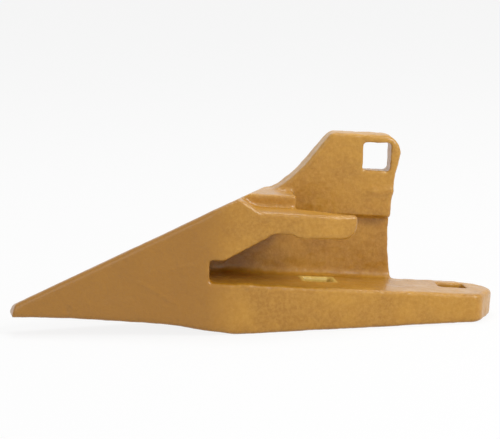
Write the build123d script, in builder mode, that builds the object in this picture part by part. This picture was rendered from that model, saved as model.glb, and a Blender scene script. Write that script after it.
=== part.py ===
"""Corner bucket tooth: one steel casting that bolts on the corner of a loader bucket.

A forked tooth with a square-ended wedge nose. The long leg lies under the
bucket lip and the short finger on top of it. The ear stands outside the side
plate. Three square holes take plough bolts.

Millimetres. +X runs from the tip to the back of the leg, +Y to the outer side
with the ear, +Z up. The tooth stands on its sole at Z = 0, with X = 0 half-way
between the leg bolts. The lip it fits slopes down to the back, so seat, finger,
holes and ear follow the lip plane and not the floor. Sizes named here are
counted in that plane from the back bolt: back or front along it, up from it.
"""

import os
from math import cos, radians, sin, tan

from build123d import *

os.makedirs("parts", exist_ok=True)

# the lip plane against the floor
lip_slope = 5.25
leg_at_back_bolt = 22.2

# bolt holes
bolt_square = 21.0
bolt_corner = 2.2
bolt_pitch = 102.0
hole_draft = 2.5

# widths, counted from the row of leg bolts
inner_side = 42.0
leg_outer_side = 23.0
ear_wall_face = 23.0
ear_pad_face = 15.0
outer_side = 37.0

# nose, seen from above
tip_back = 330.0
tip_inner = -2.0
tip_outer = 22.0
tip_skew = 1.2
nose_bend = 181.0
nose_bend_radius = 70.0
nose_outer_bend = 168.0
nose_outer_bend_radius = 120.0

# nose, seen from the side
tip_under = 38.4
tip_face_top = 25.0
tip_lean = 2.6
heel = 167.0
hollow_start = 212.0
hollow_depth = 34.3
hollow_mid = 268.0
hollow_mid_depth = 34.9
ridge_at_bend = 57.3
ridge_at_bend_back = 183.0
ridge_slope = 0.53
ridge_fall = 0.20
body_top = 64.0
nose_rise_end = 200.0

# back end of the leg
leg_end = 28.5
leg_end_cut = 15.0
leg_end_cut_side = 12.0
leg_end_sweep = 10.0
leg_end_bulge_back = 22.0
leg_end_bulge_side = 12.0

# lip slot and finger
slot_end = 189.0
slot_end_height = 16.8
slot_ramp_start = 178.5
slot_far_corner = 30.0
hump_front = 143.0
hump_height = 38.4
hump_back = 129.0
pad_front = 125.5
finger_under = 36.0
finger_top = 54.0
finger_end = 81.0
finger_nose_radius = 10.0
finger_bend = 110.0
finger_end_inner = 37.0
finger_end_outer = 32.0
finger_root_outer = 9.0

# step where the nose drops to the finger
step_front = 171.5
step_foot = 155.0
step_side = 12.0

# slot for the side plate
side_slot_front = 123.5

# ear
ear_front = 160.0
ear_front_up = 53.3
ear_sweep_start = 150.0
ear_sweep_start_up = 57.8
ear_sweep_end = 113.0
ear_sweep_end_up = 86.0
ear_top_front = 95.5
ear_top = 109.5
ear_hole_back = 60.3
ear_hole_up = 92.8
ledge = 47.0
ear_corner = 14.0
ear_front_corner = 7.0
ear_back_top = 42.0
ear_back_waist = 47.2
ear_waist_up = 48.0
ear_back_foot = 43.0

# rounded edges of the casting
ridge_round = 4.0
under_round = 3.0
leg_round = 3.0
finger_round = 2.5
block_round = 2.0
slot_round = 2.0
hump_round = 3.0
ear_round = 3.0
ledge_round = 2.0
seat_corner_round = 5.0
seat_round_end = 36.5
leg_corner_round = 10.0
finger_corner_round = 3.0

# cuts and rough blanks run this far past the metal they trim
run_past = 5.0
blank_back = 40.0
blank_half_height = 120.0

lip_height = leg_at_back_bolt * cos(radians(lip_slope))
along = (cos(radians(lip_slope)), 0, -sin(radians(lip_slope)))
upward = (sin(radians(lip_slope)), 0, cos(radians(lip_slope)))
back_bolt = (bolt_pitch / 2, 0, lip_height)
lip = Plane(origin=back_bolt, x_dir=along, z_dir=upward)
side = Plane(origin=back_bolt, x_dir=along, z_dir=(0, -1, 0))
whole_width = inner_side + outer_side
leg_hole_depth = leg_at_back_bolt + bolt_pitch * sin(radians(lip_slope)) + run_past

# the top of the nose is one plane that falls to the outer side
ridge_point = lip.from_local_coords(Vector(-ridge_at_bend_back, -inner_side, ridge_at_bend))
ridge_normal = lip.from_local_coords(Vector(-ridge_slope, ridge_fall, 1)) - lip.origin
nose_top = Plane(origin=ridge_point, z_dir=ridge_normal)


def sole(x):
    """Height of the sole in the lip plane's own frame."""
    return x * tan(radians(lip_slope)) - leg_at_back_bolt


def edge_at(piece, x, y, z):
    """The edge of a piece nearest to a point given in the lip plane's own frame."""
    point = lip.from_local_coords(Vector(x, y, z))
    return piece.edges().sort_by_distance(point)[0]


def quarter(corner_x, corner_y, radius, to_x, to_y):
    """Middle point of a quarter round that takes off an outline's corner."""
    inset = radius * (1 - cos(radians(45)))
    return (corner_x + to_x * inset, corner_y + to_y * inset)


# outline from above: the nose narrows to a blunt tip near the outer side
with BuildSketch(lip) as plan:
    with BuildLine():
        Polyline(
            (blank_back, -inner_side),
            (blank_back, outer_side),
            (-nose_outer_bend, outer_side),
            (-tip_back - tip_skew, tip_outer),
            (-tip_back, tip_inner),
            (-nose_bend, -inner_side),
            close=True,
        )
    make_face()
    fillet(plan.vertices().group_by(Axis.Y)[0].sort_by(Axis.X)[0], nose_bend_radius)
    fillet(plan.vertices().group_by(Axis.Y)[-1].sort_by(Axis.X)[0], nose_outer_bend_radius)

# the round corner between the seat and the walls beside it and in front of it
with BuildPart() as seat_round:
    with BuildLine(lip) as seat_edge:
        Line((-ear_back_foot, ear_wall_face), (-slot_end + slot_far_corner, ear_wall_face))
        ThreePointArc(
            (-slot_end + slot_far_corner, ear_wall_face),
            quarter(-slot_end, ear_wall_face, slot_far_corner, 1, -1),
            (-slot_end, ear_wall_face - slot_far_corner),
        )
        Line(
            (-slot_end, ear_wall_face - slot_far_corner),
            (-slot_end, -seat_round_end),
        )
    with BuildSketch(Plane(seat_edge.line @ 0, x_dir=(0, -1, 0), z_dir=seat_edge.line % 0)):
        with BuildLine():
            Polyline((0, seat_corner_round), (0, 0), (seat_corner_round, 0))
            ThreePointArc(
                (seat_corner_round, 0),
                quarter(0, 0, seat_corner_round, 1, 1),
                (0, seat_corner_round),
            )
        make_face()
    sweep()


with BuildPart() as ear:
    # the thin wall beside the lip, with its foot sunk in the leg
    with BuildSketch(side.offset(-outer_side)) as ear_outline:
        with BuildLine():
            Polyline(
                (-ear_back_foot, 0),
                (-ear_back_foot, -run_past),
                (-ear_front, -run_past),
                (-ear_front, ear_front_up),
                (-ear_sweep_start, ear_sweep_start_up),
            )
            front_slope = Line((-ear_top_front, ear_top), (-ear_sweep_end, ear_sweep_end_up))
            TangentArc(
                front_slope @ 1,
                (-ear_sweep_start, ear_sweep_start_up),
                tangent=front_slope % 1,
            )
            Line((-ear_top_front, ear_top), (-ear_back_top - ear_corner, ear_top))
            ThreePointArc(
                (-ear_back_top - ear_corner, ear_top),
                quarter(-ear_back_top, ear_top, ear_corner, -1, -1),
                (-ear_back_top, ear_top - ear_corner),
            )
            ThreePointArc(
                (-ear_back_top, ear_top - ear_corner),
                (-ear_back_waist, ear_waist_up),
                (-ear_back_foot, 0),
            )
        make_face()
        fillet(ear_outline.vertices().group_by(Axis.Y)[-1].sort_by(Axis.X)[0], ear_front_corner)
    extrude(amount=outer_side - ear_wall_face)

    # the thicker pad above the lip, with a ledge along its foot
    with BuildSketch(side.offset(-outer_side)):
        add(ear_outline.sketch_local)
        with Locations((-ear_front, ledge)):
            Rectangle(
                2 * blank_half_height,
                2 * blank_half_height,
                align=(Align.CENTER, Align.MAX),
                mode=Mode.SUBTRACT,
            )
    extrude(amount=outer_side - ear_pad_face)

    # its worn edges
    ear_edges = []
    for face in (ear_pad_face, outer_side):
        ear_edges += [
            edge_at(ear, -105, face, 96),
            edge_at(ear, -95, face, 109),
            edge_at(ear, -74, face, ear_top),
            edge_at(ear, -46, face, 105),
            edge_at(ear, -45, face, 75),
        ]
    fillet(ear_edges, ear_round)
    fillet(edge_at(ear, -86, ear_pad_face, ledge), ledge_round)


with BuildPart() as corner_tooth:
    # side outline of nose, leg and finger, with the lip slot open to the back
    with BuildSketch(side.offset(inner_side)):
        with BuildLine():
            Polyline(
                (-tip_back, -tip_under),
                (-tip_back + tip_lean, -tip_face_top),
                (-nose_rise_end, body_top),
                (-side_slot_front, body_top),
                (-side_slot_front, finger_top),
                (-finger_end, finger_top),
                (-finger_end, finger_under + finger_nose_radius),
            )
            ThreePointArc(
                (-finger_end, finger_under + finger_nose_radius),
                quarter(-finger_end, finger_under, finger_nose_radius, -1, 1),
                (-finger_end - finger_nose_radius, finger_under),
            )
            Polyline(
                (-finger_end - finger_nose_radius, finger_under),
                (-pad_front, finger_under),
                (-hump_back, hump_height),
                (-hump_front, hump_height),
                (-slot_ramp_start, slot_end_height),
                (-slot_end, slot_end_height),
                (-slot_end, 0),
                (blank_back, 0),
                (blank_back, sole(blank_back)),
                (-heel, sole(-heel)),
                (-hollow_start, -hollow_depth),
            )
            ThreePointArc(
                (-hollow_start, -hollow_depth),
                (-hollow_mid, -hollow_mid_depth),
                (-tip_back, -tip_under),
            )
        make_face()
    extrude(amount=-whole_width)

    # wall that closes the front of the lip slot on the outer side
    with BuildSketch(side.offset(-outer_side)):
        with BuildLine():
            Polyline(
                (-slot_end - run_past, -run_past),
                (-ear_front + run_past, -run_past),
                (-ear_front + run_past, hump_height),
                (-slot_end - run_past, hump_height),
                close=True,
            )
        make_face()
    extrude(amount=outer_side - ear_wall_face)

    # trimmed to the outline from above
    extrude(plan.sketch, amount=blank_half_height, both=True, mode=Mode.INTERSECT)

    # the nose falls away from its inner ridge to the outer side
    split(bisect_by=nose_top, keep=Keep.BOTTOM)

    # worn edges of the nose
    nose_edges = [
        edge_at(corner_tooth, -259, -21, 13),
        edge_at(corner_tooth, -181, -41, 58),
        edge_at(corner_tooth, -171.4, -inner_side, 63.5),
        edge_at(corner_tooth, -147, -inner_side, body_top),
        edge_at(corner_tooth, -251, 29, 7),
        edge_at(corner_tooth, -328, 10, -30),
    ]
    fillet(nose_edges, ridge_round)

    # step down from the nose to the finger
    with BuildSketch(side.offset(inner_side)):
        with BuildLine():
            Polyline(
                (-step_front, body_top),
                (-step_foot, finger_top),
                (-finger_end + run_past, finger_top),
                (-finger_end + run_past, body_top + run_past),
                (-step_front, body_top + run_past),
                close=True,
            )
        make_face()
    extrude(amount=-(inner_side - step_side), mode=Mode.SUBTRACT)

    # outer flank of the finger, which opens the slot for the side plate
    with BuildSketch(lip.offset(finger_under - run_past)):
        with BuildLine():
            Polyline(
                (-side_slot_front, -finger_root_outer),
                (-finger_end, -finger_end_outer),
                (-finger_end + run_past, -finger_end_outer),
                (-finger_end + run_past, outer_side + run_past),
                (-side_slot_front, outer_side + run_past),
                close=True,
            )
        make_face()
    extrude(amount=body_top, mode=Mode.SUBTRACT)

    # inner flank of the finger, drawn in towards its end
    with BuildSketch(lip.offset(finger_under - run_past)):
        with BuildLine():
            Polyline(
                (-finger_bend, -inner_side),
                (-finger_end, -finger_end_inner),
                (-finger_end + run_past, -finger_end_inner),
                (-finger_end + run_past, -inner_side - run_past),
                (-finger_bend, -inner_side - run_past),
                close=True,
            )
        make_face()
    extrude(amount=body_top, mode=Mode.SUBTRACT)

    # the leg behind the ear is narrower, with a round back end
    with BuildSketch(lip):
        with BuildLine():
            Polyline(
                (-ear_back_foot, leg_outer_side),
                (-leg_end_sweep, leg_outer_side),
            )
            ThreePointArc(
                (-leg_end_sweep, leg_outer_side),
                (leg_end_bulge_back, leg_end_bulge_side),
                (leg_end, -leg_end_cut_side),
            )
            Polyline(
                (leg_end, -leg_end_cut_side),
                (leg_end_cut, -inner_side),
                (leg_end_cut, -inner_side - run_past),
                (blank_back + run_past, -inner_side - run_past),
                (blank_back + run_past, outer_side + run_past),
                (-ear_back_foot, outer_side + run_past),
                (-ear_back_foot, leg_outer_side),
            )
        make_face()
    extrude(amount=-blank_half_height, mode=Mode.SUBTRACT)

    # round corners and worn edges of the leg
    leg_corners = [
        edge_at(corner_tooth, leg_end_cut, -inner_side, -10),
        edge_at(corner_tooth, leg_end, -leg_end_cut_side, -10),
        edge_at(corner_tooth, -leg_end_sweep, leg_outer_side, -10),
    ]
    fillet(leg_corners, leg_corner_round)
    leg_top_edges = [
        edge_at(corner_tooth, -78, -inner_side, 0),
        edge_at(corner_tooth, -178, -inner_side, 0),
        edge_at(corner_tooth, 22, -25, 0),
        edge_at(corner_tooth, 18, 16, 0),
        edge_at(corner_tooth, -26, leg_outer_side, 0),
    ]
    fillet(leg_top_edges, leg_round)
    under_edges = [
        edge_at(corner_tooth, -271, -18, -35),
        edge_at(corner_tooth, -201, -37, -35),
        edge_at(corner_tooth, -181, -41, -36.5),
        edge_at(corner_tooth, -169, -inner_side, -37.4),
        edge_at(corner_tooth, -76, -inner_side, -29),
        edge_at(corner_tooth, 22, -25, -20),
        edge_at(corner_tooth, 18, 16, -20.5),
        edge_at(corner_tooth, -26, leg_outer_side, -24.6),
    ]
    fillet(under_edges, under_round)

    # the ear
    add(ear.part)

    # round inner corner at the end of the lip slot
    with BuildSketch(lip):
        with BuildLine():
            Polyline(
                (-slot_end, ear_wall_face - slot_far_corner),
                (-slot_end, ear_wall_face),
                (-slot_end + slot_far_corner, ear_wall_face),
            )
            ThreePointArc(
                (-slot_end + slot_far_corner, ear_wall_face),
                quarter(-slot_end, ear_wall_face, slot_far_corner, 1, -1),
                (-slot_end, ear_wall_face - slot_far_corner),
            )
        make_face()
    extrude(amount=hump_height)

    # the round along the foot of the walls
    add(seat_round.part)

    # worn edges of the finger, the step block and the mouth of the slot
    finger_corners = [
        edge_at(corner_tooth, -finger_end, -finger_end_inner, 50),
        edge_at(corner_tooth, -finger_end, -finger_end_outer, 50),
    ]
    fillet(finger_corners, finger_corner_round)
    finger_top_edges = [
        edge_at(corner_tooth, -132, -inner_side, finger_top),
        edge_at(corner_tooth, -95, -39.5, finger_top),
        edge_at(corner_tooth, -finger_end, -34.5, finger_top),
        edge_at(corner_tooth, -102, -20, finger_top),
    ]
    fillet(finger_top_edges, finger_round)
    block_edges = [
        edge_at(corner_tooth, -side_slot_front, -step_side, 59),
        edge_at(corner_tooth, -side_slot_front, 1.5, body_top),
        edge_at(corner_tooth, -141, -step_side, body_top),
    ]
    fillet(block_edges, block_round)
    slot_edges = [
        edge_at(corner_tooth, -157, -inner_side, 29.6),
        edge_at(corner_tooth, -136, -inner_side, hump_height),
    ]
    fillet(slot_edges, slot_round)
    hump_edges = [
        edge_at(corner_tooth, -hump_front, -8.5, hump_height),
        edge_at(corner_tooth, -hump_back, -8.5, hump_height),
    ]
    fillet(hump_edges, hump_round)

    # square holes for the two leg bolts, wider towards the sole
    with BuildSketch(lip):
        with Locations((0, 0), (-bolt_pitch, 0)):
            RectangleRounded(bolt_square, bolt_square, bolt_corner)
    extrude(amount=-leg_hole_depth, taper=-hole_draft, mode=Mode.SUBTRACT)

    # square hole for the ear bolt, wider towards the outer side
    with BuildSketch(side.offset(-ear_pad_face)):
        with Locations((-ear_hole_back, ear_hole_up)):
            RectangleRounded(bolt_square, bolt_square, bolt_corner)
    extrude(amount=-(outer_side - ear_pad_face + run_past), taper=-hole_draft, mode=Mode.SUBTRACT)

corner_tooth.part.label = "corner_tooth"
export_step(corner_tooth.part, "parts/corner_tooth.step")
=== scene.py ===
"""Corner bucket tooth: an ochre-painted steel casting, standing on its sole.

Metres, in the frame of the CAD. Sizes that follow the bucket lip are counted in
the lip's own plane: u along it to the back, y to the outer side, v up from it.
"""

import math

import bpy
import numpy as np
from mathutils import Matrix, Vector, noise


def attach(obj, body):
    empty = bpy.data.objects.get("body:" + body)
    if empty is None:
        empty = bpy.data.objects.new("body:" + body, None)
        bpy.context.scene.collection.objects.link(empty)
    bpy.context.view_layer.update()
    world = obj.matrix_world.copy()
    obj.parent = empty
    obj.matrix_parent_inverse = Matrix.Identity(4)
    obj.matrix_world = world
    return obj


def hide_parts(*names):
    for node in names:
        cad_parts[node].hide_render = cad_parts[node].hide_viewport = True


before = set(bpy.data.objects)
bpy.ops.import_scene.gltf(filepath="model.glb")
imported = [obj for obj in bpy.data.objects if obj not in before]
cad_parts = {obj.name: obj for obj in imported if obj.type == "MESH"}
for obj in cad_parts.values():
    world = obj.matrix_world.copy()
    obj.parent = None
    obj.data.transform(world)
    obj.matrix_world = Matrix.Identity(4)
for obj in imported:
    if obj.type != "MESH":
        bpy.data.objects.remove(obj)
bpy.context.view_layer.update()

# the lip plane: its slope, and the place of the back bolt on it
SLOPE = math.radians(5.25)
BOLT = Vector((0.051, 0.0, 0.0222 * math.cos(SLOPE)))
ALONG = Vector((math.cos(SLOPE), 0.0, -math.sin(SLOPE)))
UPWARD = Vector((math.sin(SLOPE), 0.0, math.cos(SLOPE)))


def turned(u, y, v):
    """A direction given in the lip plane, in the frame of the CAD."""
    return u * ALONG + Vector((0.0, y, 0.0)) + v * UPWARD


def place(u, y, v):
    """A point given in the lip plane in millimetres, in the frame of the CAD."""
    return BOLT + turned(u, y, v) / 1000.0


# the casting
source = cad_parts["corner_tooth"]


def remeshed(name, voxel):
    """The CAD surface as an even mesh, with its edges softened by one voxel."""
    rough = bpy.data.objects.new(name + "_rough", source.data.copy())
    bpy.context.scene.collection.objects.link(rough)
    weld = rough.modifiers.new("weld", "WELD")
    weld.merge_threshold = 0.00001
    remesh = rough.modifiers.new("remesh", "REMESH")
    remesh.mode = "VOXEL"
    remesh.voxel_size = voxel
    smooth = rough.modifiers.new("smooth", "SMOOTH")
    smooth.factor = 0.5
    smooth.iterations = 3
    graph = bpy.context.evaluated_depsgraph_get()
    mesh = bpy.data.meshes.new_from_object(rough.evaluated_get(graph))
    bpy.data.objects.remove(rough)
    mesh.name = name
    return mesh


mesh = remeshed("tooth_casting", 0.00128)
count = len(mesh.vertices)
co = np.zeros(count * 3)
mesh.vertices.foreach_get("co", co)
co = co.reshape(-1, 3)
no = np.zeros(count * 3)
mesh.vertex_normals.foreach_get("vector", no)
no = no.reshape(-1, 3)

# where each point lies in the lip plane, in millimetres
rel = (co - np.array(BOLT)) * 1000.0
u = rel @ np.array(ALONG)
y = rel[:, 1]
v = rel @ np.array(UPWARD)


def field(scale, seed):
    """Smooth noise at every point; scale is its wave length in millimetres."""
    shift = Vector((seed * 17.3, seed * 5.1, seed * 9.7))
    k = 1000.0 / scale
    return np.array([noise.noise(Vector(p) * k + shift) for p in co])


def near(pu, py, pv, radius):
    """A soft spot round one point of the lip plane, all in millimetres."""
    d2 = (u - pu) ** 2 + (y - py) ** 2 + (v - pv) ** 2
    return np.exp(-d2 / (radius * radius))


def along_line(a, b, radius):
    """A soft ridge along a straight line between two points of the lip plane."""
    a, b = np.array(a, float), np.array(b, float)
    p = np.stack([u, y, v], axis=1)
    t = np.clip(((p - a) @ (b - a)) / ((b - a) @ (b - a)), 0.0, 1.0)
    d2 = ((p - a - t[:, None] * (b - a)) ** 2).sum(axis=1)
    return np.exp(-d2 / (radius * radius))


# cast surface: broad waves, lumps and grit, with the nose smoother than the ear
swell = field(34.0, 1)
lumps = field(11.0, 2)
grit = field(4.2, 3)
fine = field(2.2, 4)
nose = 1.0 / (1.0 + np.exp((u + 178.0) / 6.0))
ear = 1.0 / (1.0 + np.exp((14.0 - y) / 1.5))
rough = 1.0 - 0.45 * nose + 0.25 * ear
lift = 0.42 * swell + rough * (0.30 * lumps + 0.20 * grit + 0.09 * fine)

# raised lump, flash and tool mark on the ear, scars on the nose
lift += 1.1 * along_line((-61.0, 15.0, 66.2), (-46.5, 15.0, 66.9), 3.4)
lift += 2.2 * near(-41.5, 27.0, 90.4, 3.2)
lift += 0.35 * along_line((-107.8, 15.0, 58.0), (-107.0, 15.0, 46.5), 1.2)
lift += 0.35 * along_line((-238.4, -26.6, -4.2), (-210.9, -34.0, -18.3), 1.1)
lift += 0.25 * along_line((-231.7, -28.4, 4.6), (-197.6, -37.5, 12.7), 1.1)
lift -= 0.8 * near(-290.0, -12.7, -28.8, 2.2)

# the front bolt hole still holds runs of paint, and the seat is lumpy near the slot
in_front_hole = (np.abs(u + 102.0) < 13.0) & (np.abs(y) < 13.0) & (v < 0.5)
paint_runs = np.where(in_front_hole, 1.0, 0.0)
lift += paint_runs * (0.7 * np.abs(lumps) + 0.35 * np.abs(grit))
seat_lumps = np.exp(-(((u + 163.0) / 16.0) ** 2)) * np.exp(-(((y + 40.0) / 9.0) ** 2))
lift += 1.2 * seat_lumps * np.where(np.abs(v) < 3.0, 1.0, 0.0) * (0.6 + lumps)

# nothing sinks through the floor
co_new = co + no * (lift / 1000.0)[:, None]
co_new[:, 2] = np.maximum(co_new[:, 2], 0.0)
mesh.vertices.foreach_set("co", co_new.ravel())
mesh.update()
mesh.polygons.foreach_set("use_smooth", [True] * len(mesh.polygons))

marks = mesh.attributes.new("pale_paint", "FLOAT", "POINT")
marks.data.foreach_set("value", (paint_runs * 0.9).astype(np.float32))
# painted shade: the nose is darkened in colour, as where its faces turn away from the
# light
shade = mesh.attributes.new("nose_painted_shade", "FLOAT", "POINT")
shade.data.foreach_set("value", nose.astype(np.float32))
# painted light: the ear's wall is paled in colour towards its top, as where it catches
# the light
ear_light_layer = mesh.attributes.new("ear_painted_light", "FLOAT", "POINT")
ear_painted_light_amount = ear * np.clip((v - 55.0) / 40.0, 0.0, 1.0)
ear_light_layer.data.foreach_set("value", ear_painted_light_amount.astype(np.float32))

tooth = bpy.data.objects.new("tooth_casting", mesh)
bpy.context.scene.collection.objects.link(tooth)


# the paint
def node(tree, kind, **settings):
    made = tree.nodes.new(kind)
    for name, value in settings.items():
        setattr(made, name, value)
    return made


def noise_node(tree, coordinates, scale, detail, roughness=0.55):
    made = node(tree, "ShaderNodeTexNoise")
    made.inputs["Scale"].default_value = scale
    made.inputs["Detail"].default_value = detail
    made.inputs["Roughness"].default_value = roughness
    tree.links.new(coordinates, made.inputs["Vector"])
    return made.outputs["Fac"]


def ranged(tree, value, low, high, to_low, to_high):
    made = node(tree, "ShaderNodeMapRange")
    made.inputs["From Min"].default_value = low
    made.inputs["From Max"].default_value = high
    made.inputs["To Min"].default_value = to_low
    made.inputs["To Max"].default_value = to_high
    tree.links.new(value, made.inputs["Value"])
    return made.outputs["Result"]


def mixed(tree, factor, first, second):
    """A colour mix; either colour may be a socket or plain numbers."""
    made = node(tree, "ShaderNodeMix", data_type="RGBA")
    tree.links.new(factor, made.inputs[0])
    for socket, colour in ((made.inputs[6], first), (made.inputs[7], second)):
        if isinstance(colour, tuple):
            socket.default_value = (*colour, 1.0)
        else:
            tree.links.new(colour, socket)
    return made.outputs[2]


paint = bpy.data.materials.new("ochre_paint")
paint.use_nodes = True
tree = paint.node_tree
tree.nodes.clear()
output = node(tree, "ShaderNodeOutputMaterial")
surface = node(tree, "ShaderNodeBsdfPrincipled")
tree.links.new(surface.outputs["BSDF"], output.inputs["Surface"])
where = node(tree, "ShaderNodeTexCoord").outputs["Object"]

clouds = ranged(tree, noise_node(tree, where, 34.0, 4.0), 0.36, 0.66, 0.0, 1.0)
grains = ranged(tree, noise_node(tree, where, 420.0, 3.0, 0.65), 0.38, 0.66, 0.0, 1.0)
pale = node(tree, "ShaderNodeAttribute", attribute_name="pale_paint").outputs["Fac"]
nose_painted_shade_fac = node(tree, "ShaderNodeAttribute", attribute_name="nose_painted_shade").outputs["Fac"]
ear_painted_light_fac = node(tree, "ShaderNodeAttribute", attribute_name="ear_painted_light").outputs["Fac"]

OCHRE_DEEP = (0.36, 0.155, 0.006)
OCHRE = (0.46, 0.215, 0.014)
OCHRE_PALE = (0.60, 0.33, 0.05)
# the darker ochre of the painted shade on the nose
OCHRE_NOSE_PAINTED_SHADE = (0.335, 0.14, 0.004)
PAINT_RUN = (0.72, 0.52, 0.13)

colour = mixed(tree, clouds, OCHRE_DEEP, OCHRE)
grain_factor = ranged(tree, grains, 0.0, 1.0, 0.0, 0.35)
colour = mixed(tree, grain_factor, colour, OCHRE_PALE)
# painted light on the ear, paler towards its top
colour = mixed(tree, ranged(tree, ear_painted_light_fac, 0.0, 1.0, 0.0, 0.30), colour, OCHRE_PALE)
# painted shade over the nose
colour = mixed(tree, ranged(tree, nose_painted_shade_fac, 0.0, 1.0, 0.0, 0.85), colour, OCHRE_NOSE_PAINTED_SHADE)
colour = mixed(tree, pale, colour, PAINT_RUN)
tree.links.new(colour, surface.inputs["Base Color"])

gloss = ranged(tree, noise_node(tree, where, 95.0, 3.0), 0.3, 0.7, 0.30, 0.46)
tree.links.new(gloss, surface.inputs["Roughness"])
surface.inputs["Coat Weight"].default_value = 0.25
surface.inputs["Coat Roughness"].default_value = 0.22
surface.inputs["Specular IOR Level"].default_value = 0.5

bump_coarse = node(tree, "ShaderNodeBump")
bump_coarse.inputs["Strength"].default_value = 0.55
bump_coarse.inputs["Distance"].default_value = 0.0006
tree.links.new(noise_node(tree, where, 330.0, 4.0, 0.6), bump_coarse.inputs["Height"])
bump_fine = node(tree, "ShaderNodeBump")
bump_fine.inputs["Strength"].default_value = 0.35
bump_fine.inputs["Distance"].default_value = 0.0003
tree.links.new(noise_node(tree, where, 1100.0, 3.0, 0.6), bump_fine.inputs["Height"])
tree.links.new(bump_coarse.outputs["Normal"], bump_fine.inputs["Normal"])
tree.links.new(bump_fine.outputs["Normal"], surface.inputs["Normal"])

mesh.materials.clear()
mesh.materials.append(paint)
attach(tooth, "root")
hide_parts("corner_tooth")

# floor, light, camera
scene = bpy.context.scene
scene.view_settings.view_transform = "Standard"


def seen_ray(tree):
    """One for rays from the camera and for those mirrored or let through on the way."""
    path = node(tree, "ShaderNodeLightPath")
    total = path.outputs["Is Camera Ray"]
    for kind in ("Is Glossy Ray", "Is Transmission Ray"):
        add = node(tree, "ShaderNodeMath", operation="ADD", use_clamp=True)
        tree.links.new(total, add.inputs[0])
        tree.links.new(path.outputs[kind], add.inputs[1])
        total = add.outputs[0]
    return total


floor_mesh = bpy.data.meshes.new("studio_floor")
HALF = 9.0
corners = [(-HALF, -HALF, 0.0), (HALF, -HALF, 0.0), (HALF, HALF, 0.0), (-HALF, HALF, 0.0)]
floor_mesh.from_pydata(corners, [], [(0, 1, 2, 3)])
floor = bpy.data.objects.new("studio_floor", floor_mesh)
scene.collection.objects.link(floor)
floor_paint = bpy.data.materials.new("studio_white")
floor_paint.use_nodes = True
tree = floor_paint.node_tree
tree.nodes.clear()
output = node(tree, "ShaderNodeOutputMaterial")
matt = node(tree, "ShaderNodeBsdfDiffuse")
matt.inputs["Color"].default_value = (0.82, 0.82, 0.82, 1.0)
white = node(tree, "ShaderNodeEmission")
white.inputs["Color"].default_value = (1.0, 1.0, 1.0, 1.0)
white.inputs["Strength"].default_value = 1.0
share = node(tree, "ShaderNodeMath", operation="MULTIPLY")
share.inputs[1].default_value = 0.86
tree.links.new(seen_ray(tree), share.inputs[0])
blend = node(tree, "ShaderNodeMixShader")
tree.links.new(share.outputs[0], blend.inputs["Fac"])
tree.links.new(matt.outputs["BSDF"], blend.inputs[1])
tree.links.new(white.outputs["Emission"], blend.inputs[2])
tree.links.new(blend.outputs["Shader"], output.inputs["Surface"])
floor_mesh.materials.append(floor_paint)

world = bpy.data.worlds.new("studio")
scene.world = world
world.use_nodes = True
tree = world.node_tree
tree.nodes.clear()
output = node(tree, "ShaderNodeOutputWorld")
soft = node(tree, "ShaderNodeBackground")
soft.inputs["Color"].default_value = (1.0, 1.0, 1.0, 1.0)
soft.inputs["Strength"].default_value = 0.42
seen = node(tree, "ShaderNodeBackground")
seen.inputs["Color"].default_value = (1.0, 1.0, 1.0, 1.0)
seen.inputs["Strength"].default_value = 1.0
blend = node(tree, "ShaderNodeMixShader")
tree.links.new(seen_ray(tree), blend.inputs["Fac"])
tree.links.new(soft.outputs["Background"], blend.inputs[1])
tree.links.new(seen.outputs["Background"], blend.inputs[2])
tree.links.new(blend.outputs["Shader"], output.inputs["Surface"])


def lamp(name, at, aim, size, power):
    """A soft square lamp at one point, turned to another."""
    data = bpy.data.lights.new(name, "AREA")
    data.shape = "SQUARE"
    data.size = size
    data.energy = power
    made = bpy.data.objects.new(name, data)
    made.location = at
    made.rotation_euler = (Vector(aim) - Vector(at)).to_track_quat("-Z", "Y").to_euler()
    scene.collection.objects.link(made)


lamp("key_lamp", (1.3, -1.2, 1.3), (0.0, 0.0, 0.05), 0.9, 30.0)
lamp("fill_lamp", (-1.6, -1.5, 0.9), (-0.1, 0.0, 0.05), 1.2, 7.0)
lamp("top_lamp", (0.0, 0.5, 1.9), (-0.05, 0.0, 0.05), 1.0, 14.0)

# the camera: turned 8 degrees to the nose, 7.6 above the lip plane, rolled 3.6
AZIMUTH, ELEVATION, ROLL = (math.radians(a) for a in (-8.0, 7.6, 3.6))
back = turned(
    math.sin(AZIMUTH) * math.cos(ELEVATION),
    -math.cos(AZIMUTH) * math.cos(ELEVATION),
    math.sin(ELEVATION),
)
right = turned(math.cos(AZIMUTH), math.sin(AZIMUTH), 0.0)
up = back.cross(right)
right, up = (
    math.cos(ROLL) * right + math.sin(ROLL) * up,
    -math.sin(ROLL) * right + math.cos(ROLL) * up,
)
camera_data = bpy.data.cameras.new("camera")
camera_data.sensor_width = 36.0
camera_data.lens = 3216.0 / 500.0 * 36.0
camera_data.clip_end = 50.0
camera = bpy.data.objects.new("camera", camera_data)
turn = Matrix((right, up, back)).transposed().to_4x4()
turn.translation = place(-156.0, 0.0, 43.0) + 2.4 * back
camera.matrix_world = turn
scene.collection.objects.link(camera)
scene.camera = camera
